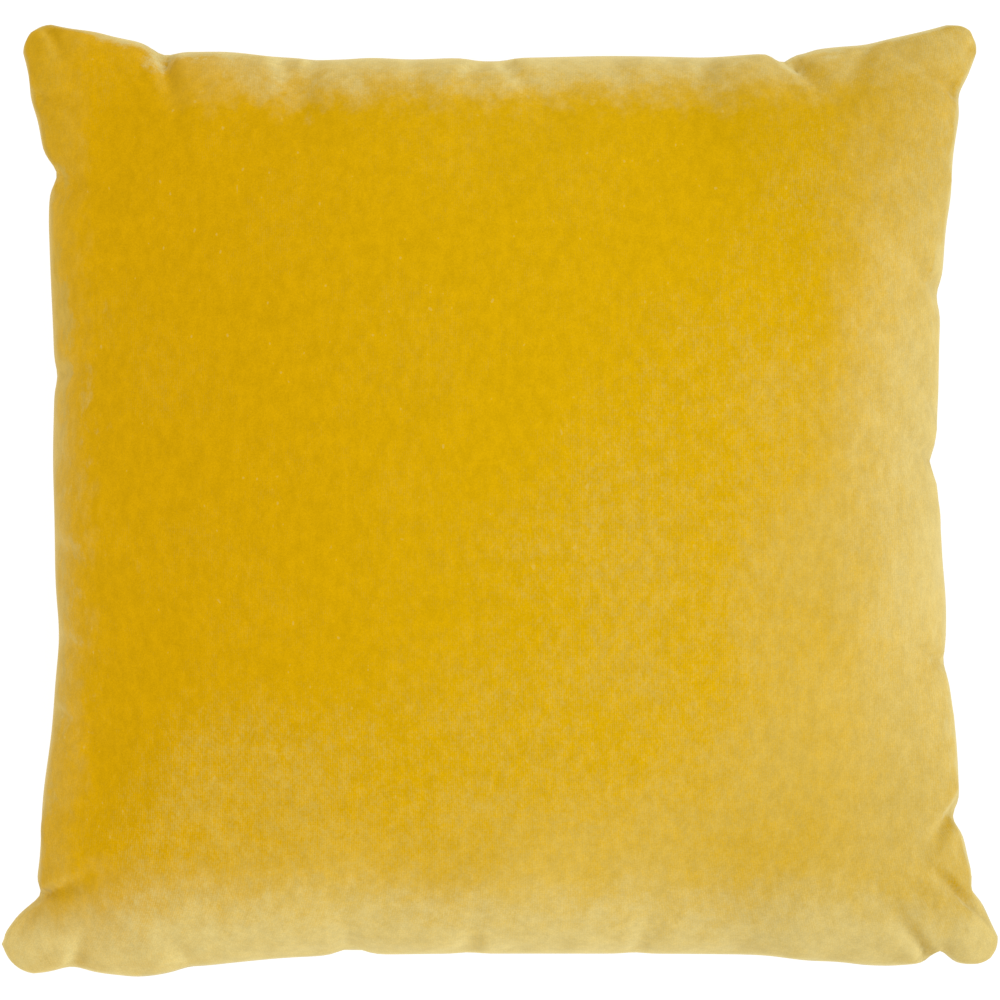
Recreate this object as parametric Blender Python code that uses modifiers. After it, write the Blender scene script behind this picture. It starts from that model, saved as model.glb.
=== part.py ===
"""Square velvet throw pillow, lying on its back: a zipped cover, the zip, and a stuffed insert.

Metres, +Z up. X runs along the zipped edge, Y from the zipped edge to the edge opposite, and
the origin is on the surface that the pillow lies on, under its middle.

The cover and the insert are nested layers of one shape. A layer is drawn on a square with
corners at (-1, -1) and (1, 1): a point (u, v) of the square goes to a point of the pillow, and
rings round the square's rim make the lips of the seam and the seam allowance turned inside.
"""

import math
from types import SimpleNamespace

import bmesh
import bpy
from mathutils import Vector

MM = 0.001
GAP = 0.3 * MM  # clearance between pieces that touch on the real pillow

# Outline of the cover, from the pillow's middle to the outermost line of its edges
SIDE_HALF = 203.0 * MM  # middle of the left and right edges
FAR_HALF = 202.5 * MM  # middle of the edge opposite the zip
ZIP_HALF = 208.0 * MM  # middle of the zipped edge
CORNER_Y = 221.0 * MM
CORNER_X = 226.5 * MM  # mean of the narrower far corners and the wider near ones
CORNER_FLARE = 5.0 * MM  # added at the zipped edge, taken off at the far edge
CORNER_RADIUS = 10.0 * MM
SHARPEST_CORNER = 1.0 * MM
EDGE_BOW = 4  # power by which an edge swings out to its corners
ZIP_EDGE_BOW = 1.5
STRAIGHT = 0.72  # share of the zipped edge that stays straight

# Thickness
SEAM_Z = 60.0 * MM  # height of the seam all round
CROWN = 88.0 * MM  # highest point of the front above the seam
BELLY = 80.0 * MM  # how far the back would hang below the seam if nothing held it up

# Cover
VELVET = 1.2 * MM
LIP = 2.0 * MM  # how far the panels roll out past the seam
ZIP_LIP = 5.0 * MM
SLIT = 1.0 * MM  # half the slit between the lips at the zip
ALLOWANCE = 10.0 * MM
TURNED_BACK = 2 * VELVET + GAP  # two layers of velvet, where the allowance is turned behind the lip
OVERLOCK = 0.6 * MM  # radius of the overlocked edge
OVERLOCK_START = 0.83  # where it ends at each side of the zip, as a share of the edge

# Insert
CASE = 0.6 * MM
CASE_INSET = 16.0 * MM
CASE_LIP = 1.0 * MM
CASE_ALLOWANCE = 6.0 * MM
CASE_THREAD = 0.4 * MM
FILLING_INSET = 10.0 * MM  # inside the case's outline
CLOSING_HALF = 90.0 * MM
CLOSING_THREAD = 0.3 * MM

# Zip, with depths measured inwards from the outermost line of the lips
HINGE_DEPTH = 1.6 * MM
PLATE = 1.0 * MM
COIL_DEPTH = 2.1 * MM
COIL_IN = 0.7 * MM  # inner and outer edge of one row of coil, from the middle of the zip
COIL_OUT = 2.4 * MM
TAPE = 0.5 * MM
TAPE_EDGE = 12.5 * MM
TAPE_HALF = 158.0 * MM
STOP_LENGTH = 2.5 * MM
STOP_START = 142.4 * MM
SLIDER_HALF = 4.5 * MM
SLIDER_WIDE = 3.2 * MM
SLIDER_CLOSED = 137.5 * MM
SLIDER_EDGE = 0.15 * MM
POST_HALF = 0.4 * MM  # the post between the two rows of coil
POST_START = 1.5 * MM
POST_END = 4.2 * MM
NECK_HALF = 0.5 * MM
BRIDGE_HALF = 3.0 * MM
BRIDGE_BAR = 0.8 * MM
BRIDGE_TOP = HINGE_DEPTH - 1.7 * MM
PULL_LENGTH = 22.0 * MM
PULL_WIDE = 1.6 * MM
PULL_THICK = 0.8 * MM
PULL_EYE = 5.2 * MM
PULL_CORNER = 0.35 * MM
PULL_HOLE_CORNER = 0.2 * MM
TAPE_STITCH_Z = 8.5 * MM
TAPE_STITCH_HALF = 152.0 * MM
TAPE_STITCH = 0.25 * MM

# Faces across each layer
COVER_STEPS = 20
CASE_STEPS = 14

LABEL = 0.4 * MM
LABEL_ROOM = 1.8 * MM  # between a label and the velvet beside it
CARE_LABEL = SimpleNamespace(u=(-0.985, -0.885), v=(0.30, 0.42))
CASE_LABEL = SimpleNamespace(u=(0.86, 0.95), v=(-0.50, -0.36))

ZIP_FACE = ZIP_LIP + TURNED_BACK  # depth of the turned-back velvet's inner face
OUTER_PLATE = ZIP_FACE + GAP
COIL_FACE = OUTER_PLATE + PLATE + GAP
INNER_PLATE = COIL_FACE + COIL_DEPTH + GAP


def half_width(v):
    corner = CORNER_X - CORNER_FLARE * v
    return SIDE_HALF + (corner - SIDE_HALF) * abs(v) ** EDGE_BOW


def half_height(u, v):
    if v > 0:
        return FAR_HALF + (CORNER_Y - FAR_HALF) * abs(u) ** EDGE_BOW
    past = max(0.0, abs(u) - STRAIGHT) / (1 - STRAIGHT)
    return ZIP_HALF + (CORNER_Y - ZIP_HALF) * past**ZIP_EDGE_BOW


def outline(u, v, inset):
    """Point of the outline that (u, v) on the square's rim stands for, moved inwards by inset."""
    half_x = half_width(v) - inset
    half_y = half_height(u, v) - inset
    x = abs(u) * half_x
    y = abs(v) * half_y
    radius = max(CORNER_RADIUS - inset, SHARPEST_CORNER)
    on_far_or_near_edge = abs(v) >= abs(u)
    to_corner = half_x - x if on_far_or_near_edge else half_y - y
    if to_corner < radius:
        turn = math.radians(45) * (1 - to_corner / radius)
        along, across = radius * math.sin(turn), radius * math.cos(turn)
        if not on_far_or_near_edge:
            along, across = across, along
        x = half_x - radius + along
        y = half_y - radius + across
    return math.copysign(x, u), math.copysign(y, v)


def beside_zip(u, v):
    return v <= -abs(u) and abs(u) <= STRAIGHT * abs(v)


def cover_rim(zipped):
    """(inset, height over the seam) from the outermost line, round the lip, to the raw edge."""
    roll, gap = (ZIP_LIP, SLIT) if zipped else (LIP, GAP / 2)
    half_turn = 1 - math.cos(math.radians(45))
    lip = [(0, gap + roll), (roll * half_turn, gap + roll * half_turn), (roll, gap)]
    if zipped:
        return lip + [(ZIP_FACE, gap), (ZIP_FACE, gap + ALLOWANCE)]
    return lip + [(roll + ALLOWANCE / 2, gap), (roll + ALLOWANCE, gap)]


def case_rim(zipped):
    return [(0, GAP / 2 + CASE_LIP), (CASE_LIP, GAP / 2), (CASE_LIP + CASE_ALLOWANCE, GAP / 2)]


def plain_rim(zipped):
    return [(0, 0)]


def layer(inset, rim, inside=0.0):
    """A nested layer. Its faces lie this far inside the cover's faces at crown and belly."""
    return SimpleNamespace(
        inset=inset,
        rim=rim,
        crown=CROWN - inside,
        belly=BELLY - inside,
        floor=inside,
    )


COVER = layer(0, cover_rim)
CASE_LAYER = layer(CASE_INSET, case_rim, VELVET + 2 * GAP)
FILLING = layer(CASE_INSET + FILLING_INSET, plain_rim, CASE_LAYER.floor + CASE + GAP)
COVER_LINING = layer(VELVET + LABEL_ROOM, cover_rim, VELVET + LABEL_ROOM)
CASE_OUTSIDE = layer(CASE_INSET - GAP - LABEL, case_rim, CASE_LAYER.floor - GAP - LABEL)


def layer_point(shape, side, u, v, ring=0):
    """Point of a layer: side is 1 for the front, on top, and -1 for the back."""
    rim_at = max(abs(u), abs(v))
    if rim_at == 0:
        return Vector((0, 0, SEAM_Z + shape.crown)) if side > 0 else Vector((0, 0, shape.floor))
    rim = shape.rim(beside_zip(u, v))
    inset, rise = rim[ring]
    x, y = outline(u / rim_at, v / rim_at, shape.inset + inset)
    dome = math.sqrt(max(0.0, (1 - u * u) * (1 - v * v)))
    if side > 0:
        z = SEAM_Z + rise + (shape.crown - rise) * dome
    else:
        z = max(shape.floor, SEAM_Z - rise - (shape.belly - rise) * dome)
    return Vector((x * rim_at, y * rim_at, z))


def crowd(share):
    """Moves evenly spaced values between -1 and 1 closer together towards both ends."""
    return math.sin(share * math.pi / 2)


def material(name, colour, roughness, metallic=0.0):
    made = bpy.data.materials.new(name)
    made.use_nodes = True
    surface = made.node_tree.nodes["Principled BSDF"]
    surface.inputs["Base Color"].default_value = (*colour, 1)
    surface.inputs["Roughness"].default_value = roughness
    surface.inputs["Metallic"].default_value = metallic
    return made


def add(obj, finish, collection):
    for other in obj.users_collection:
        other.objects.unlink(obj)
    collection.objects.link(obj)
    if finish:
        obj.data.materials.append(finish)
    return obj


def mesh_object(name, bm, finish, collection):
    mesh = bpy.data.meshes.new(name)
    bm.to_mesh(mesh)
    bm.free()
    mesh.shade_smooth()
    return add(bpy.data.objects.new(name, mesh), finish, collection)


def solidify(obj, thickness, offset=-1):
    modifier = obj.modifiers.new("Thickness", "SOLIDIFY")
    modifier.thickness = thickness
    modifier.offset = offset


def square(steps, rings):
    """A grid on the square, with rings extruded from its rim. A vertex's z is its ring."""
    bm = bmesh.new()
    bmesh.ops.create_grid(bm, x_segments=steps, y_segments=steps, size=1)
    rim = [edge for edge in bm.edges if edge.is_boundary]
    for ring in range(1, rings):
        made = bmesh.ops.extrude_edge_only(bm, edges=rim)["geom"]
        rim = [item for item in made if isinstance(item, bmesh.types.BMEdge) and item.is_boundary]
        for edge in rim:
            for vertex in edge.verts:
                vertex.co.z = ring
    return bm


def panel(name, shape, side, steps, thickness, finish, collection):
    """One face of a layer, from its crown round the lip to the edge of its seam allowance."""
    bm = square(steps, len(shape.rim(False)))
    for vertex in bm.verts:
        u, v, ring = vertex.co
        vertex.co = layer_point(shape, side, crowd(u), crowd(v), round(ring))
    bmesh.ops.recalc_face_normals(bm, faces=bm.faces)
    middle = min(bm.faces, key=lambda face: face.calc_center_median().xy.length)
    if middle.normal.z * side < 0:
        bmesh.ops.reverse_faces(bm, faces=bm.faces)
    obj = mesh_object(name, bm, finish, collection)
    solidify(obj, thickness)
    return obj


def filling(name, shape, steps, finish, collection):
    """Both faces of a layer, joined along its rim into one solid."""
    bm = square(steps, 1)
    flat = list(bm.verts)
    for vertex in bmesh.ops.duplicate(bm, geom=bm.verts[:] + bm.edges[:] + bm.faces[:])["geom"]:
        if isinstance(vertex, bmesh.types.BMVert):
            vertex.co = layer_point(shape, -1, crowd(vertex.co.x), crowd(vertex.co.y))
    for vertex in flat:
        vertex.co = layer_point(shape, 1, crowd(vertex.co.x), crowd(vertex.co.y))
    bmesh.ops.remove_doubles(bm, verts=bm.verts, dist=0.01 * MM)
    bmesh.ops.recalc_face_normals(bm, faces=bm.faces)
    return mesh_object(name, bm, finish, collection)


def label(name, shape, side, patch, finish, collection):
    """A strip of woven tape that follows a layer."""
    bm = bmesh.new()
    bmesh.ops.create_grid(bm, x_segments=5, y_segments=3, size=1)
    for vertex in bm.verts:
        u = patch.u[0] + (patch.u[1] - patch.u[0]) * (vertex.co.x + 1) / 2
        v = patch.v[0] + (patch.v[1] - patch.v[0]) * (vertex.co.y + 1) / 2
        vertex.co = layer_point(shape, side, u, v)
    if side < 0:
        bmesh.ops.reverse_faces(bm, faces=bm.faces)
    obj = mesh_object(name, bm, finish, collection)
    solidify(obj, LABEL)
    return obj


def thread(name, points, radius, finish, collection):
    curve = bpy.data.curves.new(name, "CURVE")
    curve.dimensions = "3D"
    curve.bevel_depth = radius
    curve.bevel_resolution = 1
    curve.use_fill_caps = True
    spline = curve.splines.new("POLY")
    spline.points.add(len(points) - 1)
    for place, point in zip(spline.points, points):
        place.co = (*point, 1)
    return add(bpy.data.objects.new(name, curve), finish, collection)


def seam_path(inset, start, steps):
    """Points at seam height, round three edges and both ends of the zipped one, past start."""
    across = [crowd(2 * step / steps - 1) for step in range(steps + 1)]
    ends = [share for share in across if share >= start]
    rim = [(-share, -1) for share in ends]
    rim += [(-1, share) for share in across]
    rim += [(share, 1) for share in across]
    rim += [(1, -share) for share in across]
    rim += [(share, -1) for share in reversed(ends)]
    points = []
    for u, v in rim:
        point = Vector((*outline(u, v, inset), SEAM_Z))
        if not points or (point - points[-1]).length > 1 * MM:
            points.append(point)
    return points


def box(name, low, high, finish, collection):
    """A block between two corners given as (x, depth behind the lips, height over the seam)."""
    corners = [Vector((x, depth - ZIP_HALF, SEAM_Z + z)) for x, depth, z in (low, high)]
    bpy.ops.mesh.primitive_cube_add(size=1, location=(corners[0] + corners[1]) / 2)
    obj = bpy.context.object
    obj.name = obj.data.name = name
    size = [abs(part) for part in corners[1] - corners[0]]
    for vertex in obj.data.vertices:
        vertex.co = Vector(part * length for part, length in zip(vertex.co, size))
    return add(obj, finish, collection)


def combine(obj, operation, other):
    other.hide_render = True
    other.display_type = "WIRE"
    modifier = obj.modifiers.new(other.name, "BOOLEAN")
    modifier.operation = operation
    modifier.solver = "EXACT"
    modifier.object = other


def soften(obj, width):
    modifier = obj.modifiers.new("Edges", "BEVEL")
    modifier.width = width
    modifier.segments = 1
    modifier.limit_method = "ANGLE"
    modifier.angle_limit = math.radians(50)


def zip_tape(name, side, finish, collection):
    """One tape: its inner edge lies behind the slider's mouth, and its outer part on the velvet."""
    inner = COIL_FACE + COIL_DEPTH / 2
    outer = OUTER_PLATE + TAPE / 2
    profile = [
        (inner, COIL_OUT + GAP),
        (inner, SLIDER_WIDE + GAP),
        (outer, SLIDER_WIDE + 8 * GAP),
        (outer, TAPE_EDGE),
    ]
    bm = bmesh.new()
    bmesh.ops.create_grid(bm, x_segments=1, y_segments=len(profile) - 1, size=1)
    for vertex in bm.verts:
        depth, rise = profile[round((vertex.co.y + 1) / 2 * (len(profile) - 1))]
        vertex.co = (vertex.co.x * TAPE_HALF, depth - ZIP_HALF, SEAM_Z + side * rise)
    obj = mesh_object(name, bm, finish, collection)
    solidify(obj, TAPE, 0)
    return obj


def slider_block(name, low, high, finish, collection):
    """A block of the slider, with x counted from the slider's middle."""
    low, high = ((SLIDER_CLOSED + x, depth, z) for x, depth, z in (low, high))
    return box(name, low, high, finish, collection)


def slider(finish, parts, cutters):
    """Two plates joined by the post that parts the coils, and a bridge for the pull to turn on."""
    outside, inside = OUTER_PLATE, INNER_PLATE + PLATE
    body = slider_block(
        "zip_slider_body",
        (-SLIDER_HALF, outside, -SLIDER_WIDE),
        (SLIDER_HALF, inside, SLIDER_WIDE),
        finish,
        parts,
    )
    past = 2 * SLIDER_HALF
    cuts = {
        "slider_channel_front": ((-past, POST_HALF), (past, past)),
        "slider_channel_back": ((-past, -past), (past, -POST_HALF)),
        "slider_mouth_rear": ((-past, -past), (POST_START, past)),
        "slider_mouth_lead": ((POST_END, -past), (past, past)),
    }
    for name, ((left, bottom), (right, top)) in cuts.items():
        low, high = (left, outside + PLATE, bottom), (right, inside - PLATE, top)
        combine(body, "DIFFERENCE", slider_block(name, low, high, None, cutters))
    low = (-BRIDGE_HALF, BRIDGE_TOP, -NECK_HALF)
    high = (BRIDGE_HALF, outside + PLATE / 2, NECK_HALF)
    combine(body, "UNION", slider_block("slider_bridge", low, high, None, cutters))
    low = (PLATE - BRIDGE_HALF, BRIDGE_TOP + BRIDGE_BAR, -2 * NECK_HALF)
    high = (BRIDGE_HALF - PLATE, outside - 1.5 * PLATE, 2 * NECK_HALF)
    combine(body, "DIFFERENCE", slider_block("slider_window", low, high, None, cutters))
    soften(body, SLIDER_EDGE)
    return body


def rounded_bar(left, right, half, radius, steps):
    """Corners of a bar with round ends of a given radius, anticlockwise."""
    centres = [(right - radius, half - radius), (left + radius, half - radius)]
    centres += [(x, -y) for x, y in reversed(centres)]
    points = []
    for quarter, (x, y) in enumerate(centres):
        for step in range(steps + 1):
            turn = math.radians(90) * (quarter + step / steps)
            points.append((x + radius * math.cos(turn), y + radius * math.sin(turn)))
    return points


def pull_tab(slider_body, finish, collection):
    """The pull: a flat bar whose eye goes round the slider's bridge and turns on its end bar."""
    curve = bpy.data.curves.new("zip_pull_tab", "CURVE")
    curve.dimensions = "2D"
    curve.fill_mode = "BOTH"
    curve.extrude = PULL_THICK / 2
    end_bar = PULL_THICK / 2
    body = rounded_bar(-PULL_LENGTH, end_bar, PULL_WIDE, PULL_CORNER, 2)
    eye = rounded_bar(-PULL_EYE, -end_bar, PULL_WIDE / 2, PULL_HOLE_CORNER, 2)
    grip = rounded_bar(-PULL_LENGTH + PULL_WIDE, -PULL_LENGTH / 2, PULL_WIDE / 2, PULL_HOLE_CORNER, 2)
    for points in (body, eye, grip):
        spline = curve.splines.new("POLY")
        spline.points.add(len(points) - 1)
        for place, (x, y) in zip(spline.points, points):
            place.co = (x, y, 0, 1)
        spline.use_cyclic_u = True
    obj = add(bpy.data.objects.new("zip_pull_tab", curve), finish, collection)
    obj.parent = slider_body
    obj.location = Vector((SLIDER_CLOSED, HINGE_DEPTH - ZIP_HALF, SEAM_Z)) - slider_body.location
    obj.rotation_euler = (math.radians(90), 0, 0)
    return obj


def build_cover(parts):
    velvet = material("velvet", (0.68, 0.35, 0.01), 0.9)
    thread_finish = material("cover_thread", (0.62, 0.33, 0.02), 0.7)
    tape = material("label_tape", (0.85, 0.84, 0.80), 0.8)
    panel("cover_front_panel", COVER, 1, COVER_STEPS, VELVET, velvet, parts)
    panel("cover_back_panel", COVER, -1, COVER_STEPS, VELVET, velvet, parts)
    path = seam_path(LIP + ALLOWANCE + 2 * GAP + OVERLOCK, OVERLOCK_START, COVER_STEPS)
    thread("cover_seam_thread", path, OVERLOCK, thread_finish, parts)
    label("cover_care_label", COVER_LINING, -1, CARE_LABEL, tape, parts)


def build_insert(parts):
    cambric = material("cambric", (0.86, 0.85, 0.82), 0.85)
    white_thread = material("insert_thread", (0.90, 0.89, 0.86), 0.7)
    fibre = material("hollowfibre", (0.93, 0.93, 0.92), 0.95)
    tape = material("insert_label_tape", (0.80, 0.80, 0.78), 0.8)
    panel("insert_case_front", CASE_LAYER, 1, CASE_STEPS, CASE, cambric, parts)
    panel("insert_case_back", CASE_LAYER, -1, CASE_STEPS, CASE, cambric, parts)
    edge = CASE_INSET + CASE_LIP + CASE_ALLOWANCE + 2 * GAP + CASE_THREAD
    path = seam_path(edge, CLOSING_HALF / SIDE_HALF, CASE_STEPS)
    thread("insert_seam_thread", path, CASE_THREAD, white_thread, parts)
    groove = CASE_INSET - ZIP_HALF - GAP
    ends = [(-CLOSING_HALF, groove, SEAM_Z), (CLOSING_HALF, groove, SEAM_Z)]
    thread("insert_closing_stitch", ends, CLOSING_THREAD, white_thread, parts)
    label("insert_label", CASE_OUTSIDE, 1, CASE_LABEL, tape, parts)
    filling("insert_filling", FILLING, CASE_STEPS, fibre, parts)


def build_zip(parts, cutters):
    tape = material("zip_tape", (0.60, 0.33, 0.03), 0.75)
    nylon = material("zip_nylon", (0.58, 0.32, 0.04), 0.4)
    metal = material("zip_metal", (0.72, 0.66, 0.55), 0.3, 1.0)
    coil_end = STOP_START - GAP
    stop_end = STOP_START + STOP_LENGTH
    back = COIL_FACE + COIL_DEPTH
    row = OUTER_PLATE + TAPE + GAP + TAPE_STITCH - ZIP_HALF
    for side, name in ((1, "front"), (-1, "back")):
        zip_tape(f"zip_tape_{name}", side, tape, parts)
        inner, outer = side * COIL_IN, side * COIL_OUT
        box(f"zip_coil_{name}", (-coil_end, COIL_FACE, inner), (coil_end, back, outer), nylon, parts)
        low, high = (STOP_START, COIL_FACE - GAP, inner), (stop_end, back + GAP, outer)
        box(f"zip_top_stop_{name}", low, high, metal, parts)
        height = SEAM_Z + side * TAPE_STITCH_Z
        ends = [(-TAPE_STITCH_HALF, row, height), (TAPE_STITCH_HALF, row, height)]
        thread(f"zip_tape_stitch_{name}", ends, TAPE_STITCH, nylon, parts)
    low, high = (-stop_end, COIL_FACE - GAP, -COIL_OUT), (-STOP_START, back + GAP, COIL_OUT)
    box("zip_bottom_stop", low, high, metal, parts)
    pull_tab(slider(metal, parts, cutters), metal, parts)


def main():
    for obj in list(bpy.data.objects):
        bpy.data.objects.remove(obj)
    parts = bpy.data.collections.new("throw_pillow")
    cutters = bpy.data.collections.new("cutters")
    for collection in (parts, cutters):
        bpy.context.scene.collection.children.link(collection)
    cutters.hide_render = True
    build_cover(parts)
    build_insert(parts)
    build_zip(parts, cutters)


main()
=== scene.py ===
"""Looks of the square velvet throw pillow, built round its CAD frame.

Metres, +Z up, in the row frame: X runs along the zipped edge, Y from the zipped edge to the edge
opposite, and the pillow lies on its back on a floor at z = 0.

Every layer of cloth is a grid of points, grid[row, column], whose rows run from the zipped edge to
the far edge and whose columns run from left to right. Both velvet panels start on the pillow's
outline and are filled by one cloth simulation of two flat squares sewn together. Folds that the
photograph shows at the seam are then pressed into the velvet.
"""

import math

import bmesh
import bpy
import numpy as np
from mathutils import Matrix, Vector, noise


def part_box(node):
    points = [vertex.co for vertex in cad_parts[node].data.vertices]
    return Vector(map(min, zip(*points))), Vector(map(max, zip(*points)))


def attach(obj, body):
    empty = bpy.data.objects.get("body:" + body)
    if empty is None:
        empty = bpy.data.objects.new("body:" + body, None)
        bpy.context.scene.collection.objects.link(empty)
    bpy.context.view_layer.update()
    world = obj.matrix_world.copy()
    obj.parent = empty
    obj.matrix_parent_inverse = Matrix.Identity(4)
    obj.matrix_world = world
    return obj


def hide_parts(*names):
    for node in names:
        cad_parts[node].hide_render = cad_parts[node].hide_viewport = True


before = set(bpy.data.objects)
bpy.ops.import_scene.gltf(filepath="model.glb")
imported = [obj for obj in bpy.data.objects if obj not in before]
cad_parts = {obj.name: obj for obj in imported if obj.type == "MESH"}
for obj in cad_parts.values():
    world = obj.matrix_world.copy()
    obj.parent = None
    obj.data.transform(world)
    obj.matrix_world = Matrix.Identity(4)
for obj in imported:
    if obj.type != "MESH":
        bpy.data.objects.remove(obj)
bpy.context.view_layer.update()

MM = 0.001

# Outline of the cover, from the pillow's middle to the outermost line of its edges. An edge is its
# middle, and the powers by which it swings out to its lower or left end and to its other end.
EDGES = {
    "left": (203.8 * MM, 7.6, 3.9),
    "right": (203.0 * MM, 4.0, 4.0),
    "far": (203.0 * MM, 3.2, 3.9),
    "near": (208.0 * MM, 2.2, 4.0),
}
# A corner is how far out it reaches along X and along Y, and the radius of its ear
CORNERS = {
    ("left", "far"): (218.4 * MM, 218.2 * MM, 13.0 * MM),
    ("right", "far"): (218.4 * MM, 218.0 * MM, 11.0 * MM),
    ("left", "near"): (227.8 * MM, 217.4 * MM, 16.0 * MM),
    ("right", "near"): (229.0 * MM, 213.0 * MM, 11.0 * MM),
}
EAR_START = 0.94  # share along an edge from which its ear has its full reach
SHARPEST_CORNER = 1.0 * MM

# Heights, taken from the CAD panels
SEAM_Z = (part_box("cover_front_panel")[0].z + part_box("cover_back_panel")[1].z) / 2
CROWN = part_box("cover_front_panel")[1].z - SEAM_Z
BELLY = 82.0 * MM  # how far the back would hang below the seam with no floor
FLOOR_ROUNDING = 5.0 * MM

# Cloth of the cover
VELVET = 1.2 * MM
RIB = 1.1 * MM
FLAT_SIDE = 452.0 * MM  # of each panel between its seams, before it is filled
LIP = 2.0 * MM  # how far the panels roll out past the seam
LIP_GAP = 0.15 * MM
ZIP_LIP = 5.0 * MM
ZIP_SLIT = 1.0 * MM
ALLOWANCE = 10.0 * MM
ZIP_FACE = 7.7 * MM  # depth behind the lips where the allowance is turned back
ZIP_HOLD = 1.2 * MM  # depth behind the lips' outermost line from which the zip's mouth is straight
ZIP_ENDS = (164.5 * MM, 175.0 * MM)  # where the zip's lips turn into the plain seam
ZIP_SHUT = (144.0 * MM, 151.0 * MM)  # where the slit closes deep between the lips, by the stops
LIP_STEPS = 4

# Cloth simulation
SIM_STEPS = 80
SIM_FRAMES = 26
CLOTH = {
    "quality": 5,
    "mass": 0.3,
    "tension_stiffness": 40,
    "compression_stiffness": 15,
    "shear_stiffness": 4,
    "bending_stiffness": 4,
    "tension_damping": 5,
    "compression_damping": 5,
    "shear_damping": 5,
    "bending_damping": 0.5,
    "air_damping": 1,
    "use_pressure": True,
    "uniform_pressure_force": 1.2,
}
CROWDING = 0.55  # how much closer together the grid's lines are near the edges
MOST_MOVE = 30.0 * MM

# Insert. An inset is counted from the cover's outermost line, and a room from the velvet's outside.
CASE_STEPS = 112
CASE_INSET = 16.0 * MM
CASE_ROOM = 2.2 * MM
CASE_CLOTH = 0.5 * MM
CASE_SIDE = 418.0 * MM  # of each of its panels between its seams
CASE_LIP = 1.0 * MM
CASE_ALLOWANCE = 6.0 * MM
CLOSING_HALF = 90.0 * MM  # half the length of the seam that was closed by hand
FILLING_STEPS = 96
FILLING_INSET = 26.0 * MM
FILLING_ROOM = 3.6 * MM
LUMP_DEPTH = 2.6 * MM
LUMP_SIZE = 24.0 * MM
FLOOR_GAP = 0.3 * MM

# Labels: where they lie on their panel's square, and their cloth
CARE_LABEL = ((-0.985, -0.885), (0.30, 0.42))
CASE_LABEL = ((0.86, 0.95), (-0.50, -0.36))
LABEL = 0.25 * MM
LABEL_ROOM = 0.45 * MM
LABEL_STEPS = (12, 16)

# Yarns. An overlocking has a pitch, half width and half height, and stitches a pitch and length.
OVERLOCK_START = 0.83  # where the cover's overlocking ends beside the zip, as a share of the edge
OVERLOCK_POINTS = 8
COVER_OVERLOCK = (2.5 * MM, 1.9 * MM, 1.6 * MM)
COVER_OVERLOCK_IN = 0.8 * MM  # from the raw edge to the overlocking's middle line
COVER_YARN = 0.15 * MM
CASE_OVERLOCK = (2.2 * MM, 1.1 * MM, 0.9 * MM)
CASE_OVERLOCK_IN = 0.3 * MM
CASE_YARN = 0.1 * MM
CLOSING_STITCH = (3.0 * MM, 1.2 * MM)
CLOSING_SAG = Vector((0, -0.35 * MM, 0))
CLOSING_SLANT = Vector((0, 0, 1.3 * MM))
CLOSING_POINTS = 25
CLOSING_YARN = 0.14 * MM
TAPE_STITCH = (2.6 * MM, 2.2 * MM)
TAPE_SAG = Vector((0, 0.16 * MM, 0))
TAPE_YARN = 0.18 * MM
TAPE_CLOTH = 0.5 * MM
COIL_POINTS = 12
COIL_PITCH = 1.4 * MM
COIL_WIRE = 0.28 * MM
COIL_MESH = 1.05 * MM  # how far the heads of a row reach out of its CAD box where the rows mesh
COIL_PARTED = (130.0 * MM, 132.5 * MM)  # from the zip's middle, where the rows part for the slider
TAPE_ROW = 0.05 * MM  # how far in from the tape's inner face its stitches run
STITCH_POINTS = 5

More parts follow.
